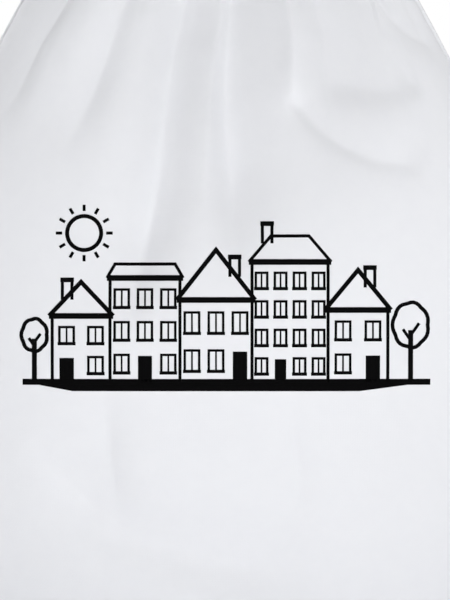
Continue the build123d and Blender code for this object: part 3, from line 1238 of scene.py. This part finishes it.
@dataclass(frozen=True)
class House:
    """One plain house front: walls, roof, and a grid of windows with a door."""

    left: float
    right: float
    wall: float
    roof: float
    flat_share: float  # how much of the roof's width is level at the top
    columns: int
    rows: int
    door: int
    chimney: float = -1.0
    eaves_over: float = 1.6
    chimney_half: float = 2.4
    chimney_height: float = 8.0
    widest_window: float = 3.6

    def _chimney(self, eaves: float, half_top: float) -> tuple[Stroke, tuple[Point2, ...]]:
        """The chimney's line and its solid cap, on the slope of the roof."""
        at = self.left + self.chimney * (self.right - self.left)
        slope = self.roof / max((self.right - self.left) / 2 + self.eaves_over - half_top, 1.0)
        inwards = min(at - self.left, self.right - at) + self.eaves_over
        foot = eaves + min(self.roof, slope * inwards)
        half, cap, top = self.chimney_half, self.chimney_half + 1.0, foot + self.chimney_height
        return (Stroke(((at - half, foot - 1.5), (at - half, top), (at + half, top),
                        (at + half, foot - 1.5))),
                ((at - cap, top - 0.6), (at + cap, top - 0.6), (at + cap, top + 1.6),
                 (at - cap, top + 1.6)))

    def strokes(self, ground: float) -> tuple[list[Stroke], list[tuple[Point2, ...]]]:
        """The house's lines, and its solid areas as four-cornered shapes.

        Args:
            ground: level of the ground.

        Returns:
            The lines and the solid areas.
        """
        width, middle = self.right - self.left, (self.left + self.right) / 2
        eaves, half_top = ground + self.wall, self.flat_share * width / 2
        left_eave, right_eave = ((self.left - self.eaves_over, eaves),
                                 (self.right + self.eaves_over, eaves))
        peak = eaves + self.roof
        tops = [(middle - half_top, peak), (middle + half_top, peak)]
        roof = tops if half_top > 0 else [(middle, peak)]
        lines = [Stroke(((x, ground), (x, eaves))) for x in (self.left, self.right)]
        lines.append(Stroke((left_eave, right_eave), 2.3))
        lines.append(Stroke((left_eave, *roof, right_eave), 1.25 if half_top > 0 else 1.8))
        solid = []
        if self.chimney > 0:
            line, cap = self._chimney(eaves, half_top)
            lines.append(line)
            solid.append(cap)
        cell_w, cell_h = width / self.columns, (self.wall - 3.0) / self.rows
        w, h, door = min(0.30 * cell_w, self.widest_window), 0.27 * cell_h, 0.80 * cell_h
        for column in range(self.columns):
            x = self.left + (column + 0.5) * cell_w
            for row in range(self.rows):
                if row == 0 and column == self.door:
                    solid.append(((x - w, ground), (x + w, ground), (x + w, ground + door),
                                  (x - w, ground + door)))
                    continue
                z = ground + (row + 0.56) * cell_h
                sill = z - h - 0.2
                lines += [Stroke(((x - w, z - h), (x + w, z - h), (x + w, z + h),
                                  (x - w, z + h)), 1.0, closed=True),
                          Stroke(((x, z - h), (x, z + h)), 0.7),
                          Stroke(((x - w - 0.9, sill), (x + w + 0.9, sill)), 1.3)]
        return lines, solid


def round_line(
    centre: Point2, radius: float, steps: int, tall: float = 1.0, lobes: float = 0.0
) -> tuple[Point2, ...]:
    """Points round a circle, or round a taller or lobed one.

    Args:
        centre: its middle.
        radius: its radius.
        steps: how many points.
        tall: its height as a share of its width.
        lobes: how far its seven lobes stand out, as a share of the radius.

    Returns:
        The points, without the first one again at the end.
    """
    turn = np.linspace(0, 2 * math.pi, steps, endpoint=False)
    swell = 1 + lobes * np.abs(np.sin(3.5 * turn))
    return tuple((float(centre[0] + radius * k * math.cos(a)),
                  float(centre[1] + tall * radius * k * math.sin(a)))
                 for a, k in zip(turn, swell))


@dataclass(frozen=True)
class StreetPrint:
    """A screen-printed line design: a plain street of houses and trees under a sun."""

    ground: float = 122.5
    offset: float = 0.16
    thickness: float = 0.3
    step: float = 1.2
    in_front: float = -0.3  # metres in y, where the design is thrown on to the cloth from
    layer_step: float = 0.02  # keeps lines that cross from lying in one plane
    # The design is laid out at the size it looks from the front, so it is drawn this much smaller
    # on the cloth, which bulges towards the eye.
    shrink: float = 0.977
    weight: float = 1.25  # how much heavier every line is printed than it is laid out
    sharpest: float = 0.35  # keeps the mitre of a sharp corner short
    centre: Point2 = (2.5, 163.5)
    kerb: tuple[float, float, float, float] = (-99.0, -74.0, 70.0, 105.5)
    kerb_height: float = 4.6
    trees: tuple[Point3, ...] = ((-93.0, 146.0, 6.2), (95.5, 151.0, 8.6))
    sun: Point2 = (-68.0, 197.0)
    sun_radius: float = 8.5
    rays: Point2 = (11.0, 14.2)  # how far from the sun's middle its rays start and end
    houses: tuple[House, ...] = (
        House(-84, -55, 33, 17, 0.0, 2, 2, 0, 0.26),
        House(-55, -20, 52, 7, 0.86, 3, 3, 1),
        House(-20, 16, 41, 25, 0.0, 3, 2, 2, 0.76),
        House(16, 54, 60, 13, 0.5, 4, 4, 1, 0.2),
        House(54, 84, 36, 20, 0.0, 2, 2, 1, 0.7),
    )

    def _layout(self) -> tuple[list[Stroke], list[tuple[Point2, ...]]]:
        """All the lines and the solid areas, each area as a closed outline of four corners."""
        lines: list[Stroke] = []
        solid: list[tuple[Point2, ...]] = []
        for house in self.houses:
            more, areas = house.strokes(self.ground)
            lines += more
            solid += areas
        for x, z, r in self.trees:
            lines += [Stroke(round_line((x, z), r, 40, 1.25, 0.07), 1.5, closed=True),
                      Stroke(((x, self.ground), (x, z - 0.3 * r)), 2.0),
                      Stroke(((x, z - 0.6 * r), (x + 0.5 * r, z + 0.1 * r)), 1.2),
                      Stroke(((x, z - 0.9 * r), (x - 0.45 * r, z - 0.25 * r)), 1.2)]
        lines.append(Stroke(round_line(self.sun, self.sun_radius, 48), 1.6, closed=True))
        ends = [round_line(self.sun, reach, 12) for reach in self.rays]
        lines += [Stroke(ray, 1.2) for ray in zip(*ends)]
        left, low_left, low_right, right = self.kerb
        low = self.ground - self.kerb_height
        lines.append(Stroke(((left, self.ground), (right, self.ground)), 2.4))
        # The kerb is solid, and tapers to a point at both ends.
        solid.append(((left, self.ground), (right, self.ground), (low_right, low),
                      (low_left, low)))
        return lines, solid

    def _grids(self) -> list[np.ndarray]:
        """Every line and solid area as a grid of (x, z) points, rows running along it."""
        lines, solid = self._layout()
        grids = []
        for stroke in lines:
            p = np.array(stroke.points, float)
            if stroke.closed:
                p = np.vstack([p, p[:1]])
            legs = np.diff(p, axis=0)
            way = legs / np.linalg.norm(legs, axis=1, keepdims=True)
            side = np.stack([-way[:, 1], way[:, 0]], axis=-1)
            before = np.vstack([side[-1:] if stroke.closed else side[:1], side])
            after = np.vstack([side, side[:1] if stroke.closed else side[-1:]])
            corner = before + after
            corner /= np.maximum((corner * after).sum(axis=1, keepdims=True), self.sharpest)
            for i, leg in enumerate(legs):
                n = max(2, int(math.ceil(np.hypot(*leg) / self.step)) + 1)
                t = np.linspace(0, 1, n)[:, None]
                middle = p[i] + t * leg
                across = (1 - t) * corner[i] + t * corner[i + 1]
                reach = across * stroke.width * self.weight / 2
                grids.append(np.stack([middle - reach, middle, middle + reach], axis=1))
        for area in solid:
            a, b, c, d = np.array(area, float)
            n = max(2, int(np.hypot(*(b - a)) / self.step) + 1)
            m = max(2, int(np.hypot(*(d - a)) / self.step) + 1)
            s, t = np.meshgrid(np.linspace(0, 1, n), np.linspace(0, 1, m), indexing="ij")
            s, t = s[..., None], t[..., None]
            grids.append((1 - s) * (1 - t) * a + s * (1 - t) * b + s * t * c + (1 - s) * t * d)
        return grids

    def build(self, cloth: Object, finishes: Finishes) -> Object:
        """Lay the design on the front panel as thin ink.

        Args:
            cloth: the front panel.
            finishes: the object's materials.

        Returns:
            The ink.
        """
        vertices = [v.co for v in cloth.data.vertices]
        tree = BVHTree.FromPolygons(vertices, [tuple(f.vertices) for f in cloth.data.polygons])
        centre = np.array(self.centre)
        points, faces, start = [], [], 0
        for layer, grid in enumerate(self._grids()):
            flat = (centre + (grid - centre) * self.shrink).reshape(-1, 2)
            proud = self.offset + self.layer_step * (layer % 3)
            for x, z in flat:
                start_at = Vector((x * MM, self.in_front, z * MM))
                hit, normal, _, _ = tree.ray_cast(start_at, Vector((0, 1, 0)))
                points.append(np.array(hit) / MM + np.array(normal) * proud)
            rows, columns = grid.shape[:2]
            here = grid_faces(rows, columns) + start
            a, b, c = (np.array(points[i]) for i in here[0, :3])
            if np.cross(b - a, c - a)[1] > 0:
                here = here[:, ::-1]
            faces += [tuple(f) for f in here]
            start = len(points)
        return mesh_object("printed_line_design", np.array(points), faces,
                           material=finishes.ink, thickness_mm=self.thickness)


# ---- the folds of this bag

FRONT_FOLDS = (
    Fold(FoldKind.SHARP_GROOVE, 6.5, 7.5, 16.8,
         ((-118.6, 240), (-103, 263.5), (-92.8, 288.5), (-80.7, 309.5), (-36, 393)),
         0.35, 0.12, 0.63),
    Fold(FoldKind.CREST, 3.2, 15, 8,
         ((-97, 238.5), (-89, 263.5), (-79, 288.5), (-68, 309.5), (-28, 393)),
         0.3, 0.12),
    Fold(FoldKind.SHARP_GROOVE, 6, 10, 11,
         ((-86, 226), (-75.5, 238.5), (-64, 263.5), (-55.5, 288.5), (-49, 309.5), (-20, 393)),
         0.35, 0.12, 1.2),
    Fold(FoldKind.SHARP_GROOVE, 14, 13.5, 15,
         ((-46, 140), (-42.7, 165), (-37.1, 190), (-32, 218), (-29.2, 238),
          (-26.8, 263), (-23.2, 288), (-19, 309), (-4, 393)),
         0.25, 0.12, 1.8),
    Fold(FoldKind.SHARP_GROOVE, 3.3, 5.8, 17.3,
         ((-47.2, 52), (-54, 88), (-56.1, 135)),
         0.5, 0.5, 1.59),
    Fold(FoldKind.SHARP_GROOVE, 15, 25, 13,
         ((12, 165), (6.5, 208), (4, 238), (2.2, 263), (3.5, 288), (5, 309), (11, 393)),
         0.3, 0.12, 1.66),
    Fold(FoldKind.SHARP_GROOVE, 9, 27.1, 26,
         ((61.9, 205), (58.9, 238), (55.3, 263), (52.1, 288), (49.7, 309), (26, 393)),
         0.4, 0.12, 1.62),
    Fold(FoldKind.SHARP_GROOVE, 2.3, 6.1, 9.1,
         ((29.2, 42), (38.6, 72), (34.8, 105), (36, 135)),
         0.5, 0.5, 0.88),
    Fold(FoldKind.SHARP_GROOVE, 4.2, 11.3, 10.3,
         ((38, 393), (83.6, 314), (92.4, 303), (94, 300.3), (104, 293), (113, 287.5), (122, 275.5)),
         0.12, 0.35, 0.6),
    Fold(FoldKind.GROOVE, 3, 27.2, 6.5,
         ((101, 274.8), (88, 269.3), (75, 269.7), (62, 272.9), (47, 272.9)),
         0.12, 0.3, 1.67),
    Fold(FoldKind.SHARP_GROOVE, 2, 13.8, 5.1,
         ((101, 224.9), (90, 230.2), (80, 230.9), (62, 238.5), (47, 250.4), (33.2, 266.2)),
         0.15, 0.12, 0.6),
    Fold(FoldKind.GROOVE, 8, 26.9, 16,
         ((57.2, -0.5), (31, 29.4), (-2, 35.4), (-37, 44.5), (-60, 58.2), (-79.3, 80), (-94, 107)),
         0.3, 0.3, 0.65),
    Fold(FoldKind.SHARP_GROOVE, 2, 12, 14,
         ((-25, 182), (-25.5, 200), (-22.5, 220), (-21.3, 238),
          (-20.5, 263), (-16, 288), (-12, 309), (-3, 393)),
         0.2, 0.12, 1.47),
    Fold(FoldKind.SHARP_CREST, 5, 6.7, 11,
         ((-6, 175), (-7.5, 200), (-7, 220), (-5.5, 238),
          (-4.2, 263), (-2.2, 288), (0.5, 309), (4, 393)),
         0.4, 0.12, 0.91),
    Fold(FoldKind.SHARP_CREST, 4.6, 6.5, 7.5,
         ((37.5, 250), (35.5, 263), (35.8, 288), (34.1, 309), (20, 393)),
         0.2, 0.12, 0.72),
)

BACK_FOLDS = (
    Fold(FoldKind.SHARP_CREST, 5.4, 7, 16,
         ((-34, 393), (-66, 320), (-88, 262), (-104, 210), (-112, 170))),
    Fold(FoldKind.CREST, 5.0, 9, 15, ((-22, 393), (-37, 310), (-44, 262), (-52, 214), (-57, 180))),
    Fold(FoldKind.SHARP_CREST, 4.6, 7, 12, ((-10, 393), (-15, 318), (-17, 262), (-14, 205))),
    Fold(FoldKind.SHARP_CREST, 5.6, 9, 13,
         ((3, 393), (8, 320), (14, 270), (14, 226), (10, 180), (4, 150))),
    Fold(FoldKind.CREST, 5.0, 12, 10, ((20, 393), (38, 320), (46, 270), (50, 225), (50, 190))),
    Fold(FoldKind.SHARP_CREST, 4.8, 7, 14,
         ((34, 393), (66, 322), (84, 282), (98, 240), (104, 204))),
    Fold(FoldKind.SHARP_GROOVE, 3.6, 7, 12, ((-28, 256), (-50, 242), (-72, 238), (-96, 245)),
         0.2, 0.3),
    Fold(FoldKind.GROOVE, 3.4, 22, 18,
         ((-70, 16), (-20, 27), (30, 42), (70, 66), (98, 100)), 0.3, 0.3),
    Fold(FoldKind.CREST, 2.6, 8, 13, ((60, 160), (54, 100), (44, 58)), 0.4, 0.4),
    Fold(FoldKind.CREST, 2.6, 8, 13, ((-60, 150), (-50, 92), (-36, 52)), 0.4, 0.4),
    Fold(FoldKind.GROOVE, 2.0, 10, 14, ((2, 130), (-4, 90), (-2, 60)), 0.4, 0.4),
)


# ---- studio


@dataclass(frozen=True)
class Studio:
    """A white studio: floor, sky light, soft lamps, and the camera in front of the bag."""

    eye: Point3 = (0.0025, -2.5, 0.1635)
    lens_mm: float = 200.0
    frame_height_mm: float = 24.0
    sky: float = 0.085
    floor_lift: float = 0.3
    floor_half_mm: float = 4000.0
    floor_z_mm: float = -0.4
    aim_z: float = 0.18
    # How far from the bag, in metres, the floor starts to run out into white, and is white.
    white_from: float = 0.35
    white_at: float = 2.4
    sky_colour: tuple[float, float, float, float] = (0.985, 0.99, 1.0, 1.0)
    # Each lamp's direction round the bag in degrees, its distance, height, width and power.
    lamps: tuple[tuple[str, float, float, float, float, float], ...] = (
        ("Key lamp", 6.0, 1.25, 0.23, 0.20, 8.9),
        ("Right lamp", 100.0, 2.0, 0.7, 0.8, 15.0),
        ("Left lamp", -100.0, 2.0, 0.7, 0.8, 14.0),
        ("Back lamp", 222.0, 1.9, 0.35, 0.4, 12.0),
        ("Top lamp", 180.0, 0.3, 1.9, 0.5, 6.5),
    )

    def build(self) -> None:
        """Build the studio and set the scene's camera."""
        scene = bpy.context.scene
        scene.view_settings.view_transform = "Standard"
        self._world(scene)
        self._floor()
        self._lamps()
        self._camera(scene)

    def _world(self, scene: Scene) -> None:
        """White to the camera, and a softer grey as light."""
        world = bpy.data.worlds.new("White studio")
        scene.world = world
        world.use_nodes = True
        tree = world.node_tree
        tree.nodes.clear()
        light = add_node(tree, "ShaderNodeBackground",
                         {"Color": self.sky_colour, "Strength": self.sky})
        white = add_node(tree, "ShaderNodeBackground",
                         {"Color": WHITE, "Strength": 1.0})
        both = add_node(tree, "ShaderNodeMixShader",
                        {0: self._seen(tree), 1: light.outputs[0], 2: white.outputs[0]})
        add_node(tree, "ShaderNodeOutputWorld", {"Surface": both.outputs[0]})

    def _seen(self, tree: NodeTree) -> NodeSocket:
        """1 where the camera sees a surface directly, in a reflection or through glass."""
        rays = add_node(tree, "ShaderNodeLightPath").outputs
        direct = calculate(tree, "MAXIMUM", rays["Is Camera Ray"], rays["Is Glossy Ray"])
        return calculate(tree, "MAXIMUM", direct, rays["Is Transmission Ray"])

    def _floor(self) -> None:
        """A wide white floor that takes a soft shadow."""
        half, z = self.floor_half_mm, self.floor_z_mm
        corners = np.array([(-half, -half, z), (half, -half, z), (half, half, z),
                            (-half, half, z)])
        material, tree, shader = new_material("Studio floor, matt white")
        place = add_node(tree, "ShaderNodeTexCoord")
        away = add_node(tree, "ShaderNodeVectorMath", {0: place.outputs["Object"]},
                        operation="LENGTH")
        # Near the bag the floor is lifted a little and keeps the soft shadow; far away, where
        # the lamps no longer reach, it runs out into the white background.
        white = add_node(tree, "ShaderNodeMapRange",
                         {"Value": away.outputs["Value"], "From Min": self.white_from,
                          "From Max": self.white_at, "To Min": self.floor_lift, "To Max": 1.0},
                         interpolation_type="SMOOTHSTEP")
        feed(tree, shader, {
            "Base Color": linear("#F6F6F7"), "Roughness": 0.9, "Specular IOR Level": 0.1,
            "Emission Color": WHITE,
            "Emission Strength": calculate(tree, "MULTIPLY", self._seen(tree),
                                           white.outputs[0])})
        floor = mesh_object("studio_floor", corners, [(0, 1, 2, 3)], material=material)

    def _lamps(self) -> None:
        """Soft lamps: the key in front, others at the sides and behind, one over the mouth."""
        for name, turn, distance, height, width, power in self.lamps:
            lamp = bpy.data.lights.new(name, "AREA")
            lamp.size = width
            lamp.energy = power
            piece = put_in_scene(name, lamp)
            piece.visible_camera = False
            angle = math.radians(turn)
            piece.location = (distance * math.sin(angle), -distance * math.cos(angle), height)
            aim = Vector((0.0, 0.0, self.aim_z)) - piece.location
            piece.rotation_euler = aim.to_track_quat("-Z", "Y").to_euler()

    def _camera(self, scene: Scene) -> None:
        """A long lens, level, that looks along +Y."""
        camera = bpy.data.cameras.new("Camera")
        camera.lens = self.lens_mm
        camera.sensor_fit = "VERTICAL"
        camera.sensor_height = self.frame_height_mm
        piece = put_in_scene("Camera", camera)
        piece.location = self.eye
        piece.rotation_euler = (math.pi / 2, 0.0, 0.0)
        scene.camera = piece


# ---- the object


class DrawstringBag:
    """The whole bag, built from its sub-assemblies."""

    def __init__(self, finishes: Finishes) -> None:
        """Keep the finishes, and the pleats that each side's panel and casing share."""
        self.finishes = finishes
        self.front_pleats = PleatRow(count=15, seed=5)
        self.back_pleats = PleatRow(count=15, seed=19)

    def _add(self, piece: Object, slot: str, *nodes: str) -> Object:
        """Ride a piece on the body, and hide the CAD solids that it stands for.

        Args:
            piece: the piece.
            slot: not used.
            nodes: the CAD nodes that it stands for.

        Returns:
            The same piece.
        """
        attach(piece, BODY)
        if nodes:
            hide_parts(*nodes)
        LOG.info("%s: %d faces", piece.name, len(piece.data.polygons))
        return piece

    def build(self) -> None:
        kit = self.finishes
        cord = self._add(Drawstring().build(kit), "cotton_cord", "drawstring", "drawstring_knot")
        panels = (ClothPanel("front_panel_cloth", 1, FRONT_FOLDS, self.front_pleats, 3.1),
                  ClothPanel("back_panel_cloth", -1, BACK_FOLDS, self.back_pleats, 41.7))
        front = self._add(panels[0].build(kit), "cotton_cloth", "front_panel")
        back = self._add(panels[1].build(kit), "cotton_cloth", "back_panel")
        front_ring = CasingRing("front_casing_cloth", 1, self.front_pleats, seed=3.0)
        back_ring = CasingRing("back_casing_cloth", -1, self.back_pleats, seed=8.0)
        casings = [self._add(front_ring.build(kit), "cotton_cloth", "front_casing"),
                   self._add(back_ring.build(kit), "cotton_cloth", "back_casing")]
        seams = [self._add(SideSeam(-1).build(kit), "cotton_cloth", "side_seam_left"),
                 self._add(SideSeam(1).build(kit), "cotton_cloth", "side_seam_right"),
                 self._add(BottomSeam().build(kit), "cotton_cloth", "bottom_seam")]
        corners = [CornerPatch(-1), CornerPatch(1)]
        patches = [self._add(corners[0].build(kit), "cotton_cloth", "corner_patch_left"),
                   self._add(corners[1].build(kit), "cotton_cloth", "corner_patch_right")]
        hem_rows = [ring.hem_line() for ring in (front_ring, back_ring)]
        stitching = Stitching()
        hems = self._add(stitching.sew("casing_stitches", hem_rows, kit.thread), "cotton_cord")
        edges = [line for corner in corners for line in corner.stitch_lines()]
        margins = self._add(stitching.sew("corner_stitches", edges, kit.thread), "cotton_cord")
        ink = self._add(StreetPrint().build(front, kit), "print_ink")
        self._paint_hardware()

    def _paint_hardware(self) -> None:
        """Give the pressed metal eyelets and washers, which stay as they are, their finish."""
        for name in ("eyelet_left", "eyelet_right", "washer_left", "washer_right"):
            piece = bpy.data.objects[name]
            for place in piece.material_slots:
                place.material = self.finishes.metal


def main() -> None:
    """Build the bag in its studio."""
    logging.basicConfig(level=logging.INFO, format="%(message)s", stream=sys.stdout)
    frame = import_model()
    LOG.info("packed model: %d nodes", len(frame["nodes"]))
    DrawstringBag(Finishes.build()).build()
    Studio().build()


if __name__ == "__main__":
    main()
